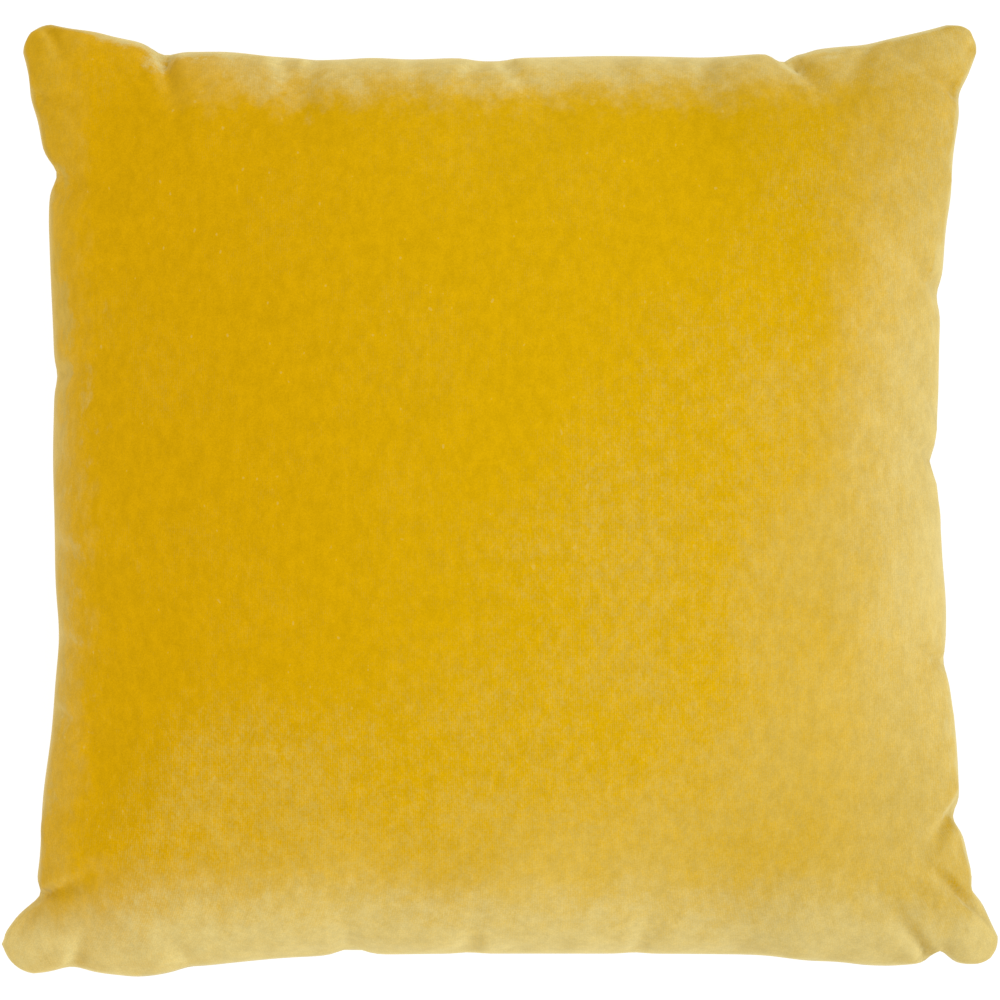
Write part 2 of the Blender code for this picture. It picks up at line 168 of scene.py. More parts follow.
# Marks at each seam: place along it from its middle, how far the seam is pulled in there (negative
# for a bulge) and half the width of that pull. A mark with a fold goes on with the fold's depth,
# half width, length, and lean from square to the edge towards larger places. Millimetres, degrees.
SEAM_MARKS = {
    "far": (
        (-205, 0.0, 9, 1.6, 5, 16, 30),
        (-186, -0.9, 9),
        (-154, 3.6, 7, 4.6, 4, 18, 14),
        (-144, 1.8, 14),
        (-100, 1.2, 16, 1.8, 7, 26, 24),
        (-84, 1.2, 8, 2.0, 5, 18, -10),
        (-72, 1.1, 10),
        (-40, 0.8, 14, 1.2, 7, 20, 12),
        (-8, 1.4, 7, 1.4, 5, 18, -20),
        (1, 1.2, 6, 2.6, 4, 20, 36),
        (50, -0.8, 26, 1.2, 9, 22, 16),
        (96, 0.6, 14, 1.2, 6, 18, -12),
        (130, 4.6, 5, 5.4, 3.5, 18, 46),
        (139, 1.4, 5),
        (168, 0.8, 9, 0.9, 6, 22, -25),
    ),
    "left": (
        (184, -1.3, 8, 2.4, 5, 18, -20),
        (150, 5.0, 7, 3.4, 4, 16, -25),
        (140, 0.8, 9, 2.4, 6, 18, 10),
        (105, -1.0, 34),
        (96, 0.0, 9, 1.4, 7, 20, 10),
        (57, 1.4, 6, 1.8, 5, 18, 12),
        (20, -0.9, 26, 1.4, 7, 22, -30),
        (-18, 0.0, 9, 2.0, 6, 28, -36),
        (-62, 1.8, 18, 2.4, 6, 34, -30),
        (-96, 0.0, 9, 2.6, 6, 36, -34),
        (-140, -4.4, 32, 1.2, 6, 20, -20),
        (-181, 3.6, 5, 3.6, 3.5, 16, 20),
        (-193, -2.8, 6),
        (-199, -2.0, 4),
    ),
    "right": (
        (208, -0.8, 9, 1.4, 5, 16, 25),
        (186, 2.2, 7, 2.4, 4, 26, 34),
        (140, -1.1, 12, 1.2, 8, 26, 24),
        (94, 2.2, 7, 3.2, 5, 26, 42),
        (60, 1.2, 36),
        (16, 4.8, 8, 3.2, 4.5, 34, 38),
        (0, 1.6, 10),
        (27, 1.2, 8),
        (38, 0.8, 10, 2.2, 5, 38, 52),
        (-48, -1.8, 20),
        (-74, 1.6, 7, 2.6, 4, 26, 30),
        (-110, -4.6, 38),
        (-145.5, 3.8, 6, 2.4, 5, 15, -50),
        (-178, 2.8, 5, 3.0, 4, 15, 38),
    ),
    "near": (
        (-163, -5.2, 24),
        (-125, -1.2, 22),
        (-196, 2.2, 8, 1.7, 4, 14, 20),
        (-142, 0.8, 6, 1.1, 5, 18, -38),
        (-67.5, 3.2, 8, 1.2, 5, 16, -10),
        (-14, 0.6, 6, 1.8, 4, 16, 10),
        (62, 0.6, 6, 1.6, 5, 18, 20),
        (141, -1.8, 15),
        (174, -3.6, 22),
        (202, 5.6, 5.5, 5.6, 3.5, 24, -38),
    ),
}
PULL_FADE = 9  # power by which a pull at the seam fades into the panel
BACK_FOLDS = 0.7  # the back's folds, as a share of the front's
FOLD_WIDENS = 0.45  # how much of its width at its own length a fold still lacks at the seam
FOLD_RIDGES = 0.35  # how strongly the cloth rises on both sides of a fold
# Unevenness of the cloth: how deep, how wide, and how far from the seam. The first kind are the
# puckers that sewing leaves, and the second are soft dents.
UNEVEN = (
    (1.3 * MM, 13.0 * MM, 13.0 * MM),
    (2.6 * MM, 46.0 * MM, 60.0 * MM),
)
NOISE_LAYER = 7.3  # keeps the back's unevenness apart from the front's
SEWN_FLAT = 2.2 * MM  # distance from the seam within which folds and unevenness die out
PAINTED_LIGHT_SIDE = (0.9, -0.25)  # side in plan that painted light comes from: pile tilted towards it is painted paler
EAR_SWING = 14.0 * MM  # how much further out than its middle an edge is near its ends

# Picture
CAMERA_HEIGHT = 3.0
FRAME_WIDE = 459.4 * MM
CAMERA_ASIDE = 0.5 * MM
SKY = 1.04
KEY_POWER = 9.0
KEY_PLACE = (1.6, -0.5, 1.3)
KEY_SIZE = 1.6
FLOOR_HALF = 6.0
FLOOR_GLOW = 0.86


# -------- outline


def edge_of(u, v):
    """The edge that a point on the rim of the square is on."""
    if abs(v) >= abs(u):
        return "far" if v > 0 else "near"
    return "left" if u < 0 else "right"


def reach(name, share, corner):
    """Distance from the pillow's middle to an edge's outermost line, at a share along it."""
    middle, low_power, high_power = EDGES[name]
    flare = min(1.0, abs(share) / EAR_START) ** (low_power if share < 0 else high_power)
    return middle + (corner - middle) * flare


def pull_at(name, place):
    """How far the marks pull an edge in at a place along it."""
    total = 0.0
    for at, pull, wide, *_ in SEAM_MARKS[name]:
        total += pull * MM * math.exp(-(((place / MM - at) / wide) ** 2))
    return total


def smooth(value, low, high):
    share = min(1.0, max(0.0, (value - low) / (high - low)))
    return share * share * (3 - 2 * share)


def zipped(name, x):
    """1 where the edge is the zip's opening, 0 where it is sewn, and between them at its ends."""
    return 1 - smooth(abs(x), *ZIP_ENDS) if name == "near" else 0.0


def outline(u, v, inset=0.0, marked=True):
    """Point in plan that (u, v) on the rim of the square stands for, moved in by inset."""
    name = edge_of(u, v)
    side, end = "left" if u < 0 else "right", "near" if v < 0 else "far"
    corner_x, corner_y, ear = CORNERS[side, end]
    half_x = reach(side, v * (1 - inset / corner_y), corner_x) - inset
    half_y = reach(end, u * (1 - inset / corner_x), corner_y) - inset
    x, y = abs(u) * half_x, abs(v) * half_y
    radius = max(ear - inset, SHARPEST_CORNER)
    across = name == end
    to_corner = half_x - x if across else half_y - y
    if to_corner < radius:
        turn = math.radians(45) * (1 - to_corner / radius)
        along, out = radius * math.sin(turn), radius * math.cos(turn)
        if not across:
            along, out = out, along
        x = half_x - radius + along
        y = half_y - radius + out
    x, y = math.copysign(x, u), math.copysign(y, v)
    if marked and across:
        y -= math.copysign(1, v) * pull_at(name, x)
    elif marked:
        x -= math.copysign(1, u) * pull_at(name, y)
    straight = zipped(name, x) * min(1.0, inset / ZIP_HOLD)
    return x, y + (inset - EDGES["near"][0] - y) * straight


def grid_lines(steps):
    """Places of a grid's lines between -1 and 1, closer together towards both ends."""
    even = np.linspace(-1, 1, steps + 1)
    return (1 - CROWDING) * even + CROWDING * np.sin(even * math.pi / 2)


def sides(lines, inset, marked):
    """Points of the outline along its near, far, left and right edges."""
    across = [[outline(share, end, inset, marked) for share in lines] for end in (-1, 1)]
    up = [[outline(end, share, inset, marked) for share in lines] for end in (-1, 1)]
    return np.array(across + up)


def plan(lines, inset=0.0):
    """Where each crossing of the grid's lines lies in plan, on a smooth patch between the edges."""
    plain = sides(lines, inset, False)
    pulls = sides(lines, inset, True) - plain
    near, far, left, right = plain
    across, up = ((lines + 1) / 2)[None, :, None], ((lines + 1) / 2)[:, None, None]
    points = (1 - up) * near[None] + up * far[None]
    points += (1 - across) * left[:, None]
    points += across * right[:, None]
    points -= (1 - up) * ((1 - across) * near[0] + across * near[-1])
    points -= up * ((1 - across) * far[0] + across * far[-1])
    below, above = np.clip(-lines, 0, 1) ** PULL_FADE, np.clip(lines, 0, 1) ** PULL_FADE
    points += below[:, None, None] * pulls[0][None] + above[:, None, None] * pulls[1][None]
    points += below[None, :, None] * pulls[2][:, None] + above[None, :, None] * pulls[3][:, None]
    for row, column in rim(len(lines) - 1):
        points[row, column] = outline(lines[column], lines[row], inset)
    return points


def rim(steps):
    """(row, column) of the grid's outer points, once round, anticlockwise from the near left one."""
    path = [(0, at) for at in range(steps)]
    path += [(at, steps) for at in range(steps)]
    path += [(steps, steps - at) for at in range(steps)]
    path += [(steps - at, 0) for at in range(steps)]
    return path


def lip_rise(name, x):
    """Height over the seam of a panel's outermost line."""
    return LIP + LIP_GAP + zipped(name, x) * (ZIP_LIP - LIP + ZIP_SLIT - LIP_GAP)


# -------- filling the cover


def start_shape(lines, side):
    """The domed panel that the simulation starts from."""
    steps = len(lines) - 1
    points = plan(lines)
    grid = np.zeros((steps + 1, steps + 1, 3))
    grid[..., :2] = points
    u, v = np.meshgrid(lines, lines)
    dome = np.sqrt(np.clip((1 - u * u) * (1 - v * v), 0, 1))
    rise = np.full(dome.shape, LIP + LIP_GAP)
    for row, column in rim(steps):
        name = edge_of(lines[column], lines[row])
        rise[row, column] = lip_rise(name, points[row, column, 0])
    high = CROWN if side > 0 else BELLY
    grid[..., 2] = SEAM_Z + side * (rise + (high - rise) * dome)
    return grid


def quads(columns, rows, first, flip):
    """Faces of one grid of columns by rows, whose points are numbered from first."""
    faces = []
    for row in range(rows):
        for column in range(columns):
            at = first + row * (columns + 1) + column
            face = [at, at + 1, at + columns + 2, at + columns + 1]
            faces.append(face[::-1] if flip else face)
    return faces


def sewn_mesh(front, back, steps):
    """Both panels in one closed mesh, joined along their lips."""
    count = (steps + 1) ** 2
    faces = quads(steps, steps, 0, False) + quads(steps, steps, count, True)
    path = [row * (steps + 1) + column for row, column in rim(steps)]
    for here, after in zip(path, path[1:] + path[:1]):
        faces.append([after, here, here + count, after + count])
    mesh = bpy.data.meshes.new("sewn_cover")
    points = np.concatenate([front.reshape(-1, 3), back.reshape(-1, 3)])
    mesh.from_pydata(points.tolist(), [], faces)
    return mesh, path + [at + count for at in path]


def flat_squares(lines):
    """The same points before filling: two flat squares, one over the other."""
    x, y = np.meshgrid(lines * FLAT_SIDE / 2, lines * FLAT_SIDE / 2)
    layers = []
    for side in (1, -1):
        layers.append(np.stack([x, y, np.full(x.shape, SEAM_Z + side * LIP)], -1).reshape(-1, 3))
    return np.concatenate(layers)


def simulate(lines, front, back):
    """Fills the sewn squares with Blender's cloth simulation and returns both panels."""
    steps = len(lines) - 1
    mesh, held = sewn_mesh(front, back, steps)
    obj = linked("sewn_cover", mesh)
    obj.vertex_groups.new(name="held").add(held, 1.0, "ADD")
    obj.shape_key_add(name="Basis")
    flat = obj.shape_key_add(name="flat")
    flat.data.foreach_set("co", flat_squares(lines).ravel())
    cloth = obj.modifiers.new("Cloth", "CLOTH")
    settings = cloth.settings
    settings.rest_shape_key = flat
    settings.vertex_group_mass = "held"
    for setting, value in CLOTH.items():
        setattr(settings, setting, value)
    settings.effector_weights.gravity = 0
    cloth.collision_settings.use_collision = False
    cloth.point_cache.frame_end = SIM_FRAMES
    for at in range(1, SIM_FRAMES + 1):
        bpy.context.scene.frame_set(at)
    evaluated = obj.evaluated_get(bpy.context.evaluated_depsgraph_get())
    filled = np.empty(len(mesh.vertices) * 3)
    evaluated.data.vertices.foreach_get("co", filled)
    filled = filled.reshape(2, steps + 1, steps + 1, 3)
    bpy.data.objects.remove(obj)
    bpy.data.meshes.remove(mesh)
    bpy.context.scene.frame_set(1)
    return filled


def capped(start, moved):
    """The moved points, none further than MOST_MOVE from where it started."""
    move = moved - start
    far = np.linalg.norm(move, axis=-1, keepdims=True)
    return start + move * np.minimum(1, MOST_MOVE / np.maximum(far, 1e-9))


def to_height(grid, side, high):
    """Scales the panel's height over the seam so that its highest point is at high."""
    rise = (grid[..., 2] - SEAM_Z) * side
    over = rise / max(rise.max(), MM)
    grid[..., 2] = SEAM_Z + side * rise * (1 + (high / max(rise.max(), MM) - 1) * over)
    return grid


def on_floor(height, lowest):
    """Heights kept above lowest, with a rounded start to the flat part."""
    over = height - lowest
    return lowest + (over + np.sqrt(over * over + FLOOR_ROUNDING**2 / 4)) / 2


def halved(rows):
    """The rows with one added halfway between each two, on a smooth curve through them."""
    before = 3 * rows[:1] - 3 * rows[1:2] + rows[2:3]
    after = 3 * rows[-1:] - 3 * rows[-2:-1] + rows[-3:-2]
    wide = np.concatenate([before, rows, after])
    made = np.empty((2 * len(rows) - 1, *rows.shape[1:]))
    made[::2] = rows
    made[1::2] = (9 * (wide[1:-2] + wide[2:-1]) - wide[:-3] - wide[3:]) / 16
    return made


def finer(grid):
    """The grid with a line added halfway between each two, both ways."""
    return halved(halved(grid).swapaxes(0, 1)).swapaxes(0, 1)


def sampled(grid, lines, u, v):
    """Points of a panel at the places (u, v) of its square."""
    count = np.arange(len(lines))
    column, row = np.interp(u, lines, count), np.interp(v, lines, count)
    left = np.minimum(column.astype(int), len(lines) - 2)
    low = np.minimum(row.astype(int), len(lines) - 2)
    across, up = (column - left)[..., None], (row - low)[..., None]
    lower = grid[low, left] * (1 - across) + grid[low, left + 1] * across
    upper = grid[low + 1, left] * (1 - across) + grid[low + 1, left + 1] * across
    return lower * (1 - up) + upper * up


def inner_layer(panel, panel_lines, lines, side, inset, room):
    """A layer inside a velvet panel, domed from its own rim to just under the velvet."""
    points = plan(lines, inset)
    u, v = np.meshgrid(lines, lines)
    share = 1 - inset / EDGES["left"][0]
    over = sampled(panel, panel_lines, u * share, v * share)[..., 2]
    flat = (1 - u * u) * (1 - v * v) / ((1 - (u * share) ** 2) * (1 - (v * share) ** 2))
    rise = ((over - SEAM_Z) * side - room) * np.sqrt(np.clip(flat, 0, 1))
    height = on_floor(SEAM_Z - rise, FLOOR_GAP + room) if side < 0 else SEAM_Z + rise
    return np.concatenate([points, height[..., None]], -1)


def normals(grid, side):
    """Outward normals of a panel's points."""
    along = np.gradient(grid, axis=1)
    up = np.gradient(grid, axis=0)
    normal = np.cross(along, up) * side
    return normal / np.maximum(np.linalg.norm(normal, axis=-1, keepdims=True), 1e-12)


def mark_frame(edge, place, lean):
    """Foot of a fold on the seam, and the unit vectors along it (inwards) and across it."""
    far_near = edge in ("far", "near")
    sign = 1 if edge in ("far", "right") else -1
    half = sign * (EDGES[edge][0] + EAR_SWING * abs(place * MM / FLAT_SIDE * 2) ** 4)
    foot = np.array([place * MM, half] if far_near else [half, place * MM])
    turn = math.radians(lean)
    inwards, sideways = -sign * math.cos(turn), math.sin(turn)
    along = np.array([sideways, inwards] if far_near else [inwards, sideways])
    return foot, along, np.array([-along[1], along[0]])


def from_seam(lines):
    """How far each point of a panel is from the seam, on the flat cloth, and how free it is of it."""
    u, v = np.meshgrid(np.abs(lines), np.abs(lines))
    away = (1 - np.maximum(u, v)) * FLAT_SIDE / 2
    return away, 1 - np.exp(-((away / SEWN_FLAT) ** 2))


def folded(grid, lines, side, share):
    """Presses the seam's folds into a panel: a valley with a low ridge on each side of it."""
    normal = normals(grid, side)
    _, free = from_seam(lines)
    sunk = np.zeros(grid.shape[:2])
    marks = [(edge, *mark) for edge in SEAM_MARKS for mark in SEAM_MARKS[edge] if len(mark) > 3]
    for edge, place, _, _, deep, wide, long, lean in marks:
        foot, along, across = mark_frame(edge, place, lean)
        away = grid[..., :2] - foot
        inwards = np.maximum(away @ along, 0) / (long * MM)
        widening = 1 - FOLD_WIDENS + FOLD_WIDENS * np.minimum(inwards, 2)
        sideways = (away @ across) / (wide * MM * widening)
        valley = (1 - FOLD_RIDGES * sideways**2) * np.exp(-(sideways**2) / 1.6)
        sunk += deep * MM * valley * np.exp(-(inwards**1.5))
    return grid - normal * (sunk * free * share)[..., None]


def uneven(grid, lines, side):
    """Gives a panel the puckers and soft dents of sewn cloth."""
    normal = normals(grid, side)
    away, free = from_seam(lines)
    sunk = np.zeros(grid.shape[:2])
    for deep, wide, reach_in in UNEVEN:
        share = np.exp(-((away / reach_in) ** 2)) * free
        for row, column in np.argwhere(share > 0.01):
            x, y, _ = grid[row, column]
            bend = noise.noise(Vector((x / wide, y / wide, side * NOISE_LAYER)))
            sunk[row, column] += deep * share[row, column] * bend
    return grid - normal * sunk[..., None]


# -------- panels


def cover_rings(lines, grid, side):
    """Rings of points from a velvet panel's outermost line, round its lip, to its raw edge."""
    rings = []
    turns = [math.radians(90) * step / LIP_STEPS for step in range(1, LIP_STEPS + 1)]
    for ring in range(LIP_STEPS + 3):
        points = []
        for row, column in rim(len(lines) - 1):
            u, v = lines[column], lines[row]
            start = grid[row, column]
            at_zip = zipped(edge_of(u, v), start[0])
            roll = LIP + at_zip * (ZIP_LIP - LIP)
            pinch = at_zip * (ZIP_SLIT - LIP_GAP) * smooth(abs(start[0]), *ZIP_SHUT)
            drop = roll + pinch
            if ring < LIP_STEPS:
                turned = 1 - math.cos(turns[ring])
                inset = roll * turned
                drop = roll * math.sin(turns[ring]) + pinch * turned**2
            else:
                share = (ring - LIP_STEPS) / 2
                plain = roll + ALLOWANCE * (0.5 + share / 2)
                inset = plain + at_zip * (ZIP_FACE - plain)
                drop -= at_zip * ALLOWANCE * share
            x, y = outline(u, v, inset)
            points.append((x, y, start[2] - side * drop))
        rings.append(points)
    return rings


def case_rings(lines, side):
    """The same round a panel of the insert's case."""
    rings = []
    turned = CASE_LIP * (1 - math.cos(math.radians(45)))
    profile = (
        (turned, LIP_GAP + turned),
        (CASE_LIP, LIP_GAP),
        (CASE_LIP + CASE_ALLOWANCE, LIP_GAP),
    )
    for inset, rise in profile:
        points = []
        for row, column in rim(len(lines) - 1):
            x, y = outline(lines[column], lines[row], CASE_INSET + inset)
            points.append((x, y, SEAM_Z + side * rise))
        rings.append(points)
    return rings


def smooth_mesh(name, points, faces, flat):
    """A smooth mesh, with each point's place on the flat cloth, in metres, in the map flat_cloth."""
    mesh = bpy.data.meshes.new(name)
    mesh.from_pydata(points, [], faces)
    bm = bmesh.new()
    bm.from_mesh(mesh)
    layer = bm.loops.layers.uv.new("flat_cloth")
    for face in bm.faces:
        for loop in face.loops:
            loop[layer].uv = flat[loop.vert.index]
    bm.to_mesh(mesh)
    bm.free()
    mesh.shade_smooth()
    return mesh


def painted_tilt_shade(grid, plain, side):
    """Painted shade by tilt: how much each point's tilt away from the plain panel, towards the painted
    light's side, makes its pile paler.
    """
    tilt = normals(grid, side) - normals(plain, side)
    return tilt[..., 0] * PAINTED_LIGHT_SIDE[0] + tilt[..., 1] * PAINTED_LIGHT_SIDE[1]


def add_tilt_shade(mesh, tilt_shade):
    """Writes each grid point's painted shade by tilt to an attribute, which is 0 on the rings round it.
    """
    values = np.zeros(len(mesh.vertices))
    values[: tilt_shade.size] = tilt_shade.ravel()
    mesh.attributes.new("tilt_shade", "FLOAT", "POINT").data.foreach_set("value", values)


def cloth_mesh(name, grid, lines, rings, flat_side, allowance, flip):
    """A panel as a mesh: its grid, and rings of faces added round it."""
    steps = len(lines) - 1
    points = [tuple(point) for point in grid.reshape(-1, 3)]
    flat = [(u * flat_side / 2, v * flat_side / 2) for v in lines for u in lines]
    faces = quads(steps, steps, 0, flip)
    path = [row * (steps + 1) + column for row, column in rim(steps)]
    reached = 1.0
    for ring in rings:
        reached += 2 * allowance / len(rings) / flat_side
        made = list(range(len(points), len(points) + len(path)))
        for (row, column), point in zip(rim(steps), ring):
            points.append(tuple(point))
            u, v = lines[column], lines[row]
            flat.append((u * flat_side / 2 * reached, v * flat_side / 2 * reached))
        for at in range(len(path)):
            after = (at + 1) % len(path)
            face = [path[after], path[at], made[at], made[after]]
            faces.append(face[::-1] if flip else face)
        path = made
    return smooth_mesh(name, points, faces, flat)


def linked(name, data, finish=None):
    """A new object in the scene, with its finish if it has one."""
    obj = bpy.data.objects.new(name, data)
    bpy.context.scene.collection.objects.link(obj)
    if finish:
        data.materials.append(finish)
    return obj


def thicken(obj, thickness):
    modifier = obj.modifiers.new("Thickness", "SOLIDIFY")
    modifier.thickness = thickness
    modifier.offset = -1


def stands_for(obj, node):
    """Puts a piece in the place of a CAD node, on the cover's body."""
    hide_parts(node)
    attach(obj, "cover")


# -------- materials


def rgb(red, green, blue):
    return (red, green, blue, 1.0)


# Velvet, left to right where no brushing and painted light are mixed in, and where they are. Its
# painted edge sheen is tan at the left, low and high, darkened by painted shade away from the light,
# and pale gold at the others.
GOLD_LEFT = rgb(0.592, 0.322, 0.0006)
GOLD_RIGHT = rgb(0.606, 0.350, 0.0009)
GOLD_BRUSHED_AND_LIT = rgb(0.592, 0.397, 0.063)
SHADED_SHEEN_LOW = rgb(0.510, 0.345, 0.075)
SHADED_SHEEN_HIGH = rgb(0.500, 0.318, 0.034)
LIT_SHEEN_GOLD = rgb(0.635, 0.508, 0.198)
LINT = rgb(0.62, 0.46, 0.14)


class Finish:
    """A node material built up from one Principled BSDF."""

    def __init__(self, name, roughness, **sockets):
        self.material = bpy.data.materials.new(name)
        self.material.use_nodes = True
        self.tree = self.material.node_tree
        self.surface = self.tree.nodes["Principled BSDF"]
        self.surface.inputs["Roughness"].default_value = roughness
        for socket, value in sockets.items():
            self.surface.inputs[socket.replace("_", " ")].default_value = value

    def add(self, kind, inputs=(), **settings):
        """Adds a node. inputs are (socket, value or another node's output)."""
        made = self.tree.nodes.new("ShaderNode" + kind)
        for name, value in settings.items():
            setattr(made, name, value)
        for socket, value in inputs:
            if isinstance(value, bpy.types.NodeSocket):
                self.tree.links.new(value, made.inputs[socket])
            else:
                made.inputs[socket].default_value = value
        return made

    def math(self, operation, first, second=0.0, clamp=False):
        inputs = [(0, first), (1, second)]
        return self.add("Math", inputs, operation=operation, use_clamp=clamp).outputs[0]

    def times(self, first, second):
        return self.math("MULTIPLY", first, second)

    def plus(self, first, second):
        return self.math("ADD", first, second)

    def minus(self, first, second):
        return self.math("SUBTRACT", first, second)

    def most(self, first, second):
        return self.math("MAXIMUM", first, second)

    def size(self, value):
        return self.math("ABSOLUTE", value)

    def wave(self, value, length):
        """Sine of a place, over waves of a given length."""
        return self.math("SINE", self.times(value, 2 * math.pi / length))

    def stretched(self, place, scale):
        return self.add("Mapping", [("Vector", place), ("Scale", scale)]).outputs[0]

    def noise(self, place, scale, detail=2.0, roughness=0.5):
        inputs = [("Vector", place), ("Scale", scale), ("Detail", detail), ("Roughness", roughness)]
        return self.add("TexNoise", inputs).outputs["Fac"]

    def ramp(self, value, low, high, to_low=0.0, to_high=1.0):
        """Maps value from low..high to to_low..to_high with soft ends."""
        inputs = [(0, value), (1, low), (2, high), (3, to_low), (4, to_high)]
        return self.add("MapRange", inputs, interpolation_type="SMOOTHSTEP").outputs[0]

    def mix(self, share, first, second, blend="MIX"):
        made = self.add("Mix", (), data_type="RGBA", blend_type=blend)
        for socket, value in ((0, share), (6, first), (7, second)):
            if isinstance(value, bpy.types.NodeSocket):
                self.tree.links.new(value, made.inputs[socket])
            else:
                made.inputs[socket].default_value = value
        return made.outputs[2]

    def object_place(self):
        return self.add("TexCoord").outputs["Object"]

    def cloth_place(self):
        return self.add("UVMap", (), uv_map="flat_cloth").outputs["UV"]

    def parts(self, vector):
        return self.add("SeparateXYZ", [(0, vector)]).outputs

    def bump(self, height, distance, strength=1.0, before=None):
        inputs = [("Height", height), ("Distance", distance), ("Strength", strength)]
        if before:
            inputs.append(("Normal", before))
        return self.add("Bump", inputs).outputs[0]

    def finish(self, colour, normal=None, roughness=None):
        self.tree.links.new(colour, self.surface.inputs["Base Color"])
        if normal:
            self.tree.links.new(normal, self.surface.inputs["Normal"])
        if roughness:
            self.tree.links.new(roughness, self.surface.inputs["Roughness"])
        return self.material


def pile_grain(made, tall):
    """Mottle and specks of the pile, over the ribs of its ground cloth."""
    across, along, _ = made.parts(made.cloth_place())
    mottle = made.ramp(made.noise(tall, 190.0, 5.0, 0.72), 0.30, 0.74, -0.26, 0.28)
    specks = made.ramp(made.noise(tall, 900.0, 2.0, 0.6), 0.30, 0.75, -0.26, 0.30)
    weave = made.plus(made.times(made.wave(across, RIB), 0.22), made.times(made.wave(along, RIB), 0.08))
    return made.plus(mottle, made.plus(specks, weave))


def brushing_and_painted_sheen(made, x, y):
    """How far the pile is painted paler, for its brushing and for painted sheen and light from the
    lower right: most at the right, and next at the zip.
    """
    high = made.most(y, -0.02)
    slant = made.minus(x, made.times(high, 0.75))
    rightwards = made.ramp(slant, -0.03, 0.10, 0.0, 0.32)
    slant = made.minus(x, made.times(high, 0.45))
    rightwards = made.plus(rightwards, made.ramp(slant, 0.095, 0.165, 0.0, 0.60))
    nearwards = made.math("POWER", made.ramp(y, -0.02, -0.22), 2.0)
    nearwards = made.times(nearwards, made.ramp(x, -0.19, -0.12))
    rest = made.times(nearwards, made.minus(1.0, rightwards))
    return made.plus(rightwards, rest)


def painted_edge_sheen(made, x, y, tall):
    """How far the pile is painted paler as sheen: where the cloth turns down, as at grazing slopes, and
    in ragged bands by the seams.
    """
    _, _, up = made.parts(made.add("NewGeometry").outputs["Normal"])
    ragged = made.ramp(made.noise(tall, 85.0, 6.0, 0.72), 0.25, 0.75, -1.0, 1.0)
    slope = made.plus(made.size(up), made.times(ragged, 0.26))
    # painted sheen where the cloth slopes down, as velvet shows at grazing angles
    slope_sheen = made.ramp(slope, 0.70, 0.30, 0.0, 0.80)
    shift = made.times(ragged, 9.0 * MM)
    far = made.ramp(made.plus(y, shift), 0.174, 0.204, 0.0, 0.78)
    ends = made.most(made.ramp(x, -0.160, -0.095), made.ramp(x, -0.195, -0.21, 0.0, 0.35))
    far = made.times(far, made.times(ends, made.ramp(x, 0.09, 0.15, 1.0, 0.6)))
    right = made.ramp(made.plus(x, shift), 0.138, 0.206)
    right = made.times(right, made.ramp(made.size(made.minus(y, 0.01)), 0.0, 0.16, 0.85, 0.35))
    near = made.ramp(made.minus(y, shift), -0.160, -0.204, 0.0, 0.78)
    left = made.ramp(made.minus(x, shift), -0.184, -0.210, 0.0, 0.60)
    left = made.times(left, made.ramp(made.size(made.plus(y, 0.04)), 0.03, 0.12, 1.0, 0.5))
    side = made.most(made.most(far, right), made.most(near, left))
    return made.most(slope_sheen, side)


def pile_tone(made, x, y, place, tall, tilt_shade):
    """Light and shade of the pile: grain, tilt, and the two right corners turned from the light."""
    grain = made.ramp(made.noise(place, 1500.0, 2.0, 0.6), 0.25, 0.75, 0.93, 1.07)
    depth = made.ramp(made.noise(tall, 210.0, 4.0, 0.7), 0.25, 0.75, 0.93, 1.07)
    # painted shade by tilt: pile tilted towards the light is lighter, and tilted away darker
    tone = made.times(made.times(depth, grain), made.ramp(tilt_shade, -0.4, 0.4, 0.87, 1.14))
    turned = made.times(made.ramp(x, 0.02, 0.16), made.ramp(made.size(y), 0.06, 0.18))
    tone = made.times(tone, made.ramp(turned, 0.0, 1.0, 1.0, 0.93))
    return made.add("CombineXYZ", [(0, tone), (1, tone), (2, tone)]).outputs[0]


def pile_lint(made, place, tall):
    """Flecks of lint, thicker in some places than in others."""
    thick = made.ramp(made.noise(place, 55.0, 3.0, 0.6), 0.3, 0.7, -0.05, 0.03)
    flecks = made.plus(made.noise(tall, 420.0, 1.0, 0.3), thick)
    return made.ramp(flecks, 0.765, 0.81, 0.0, 0.32)


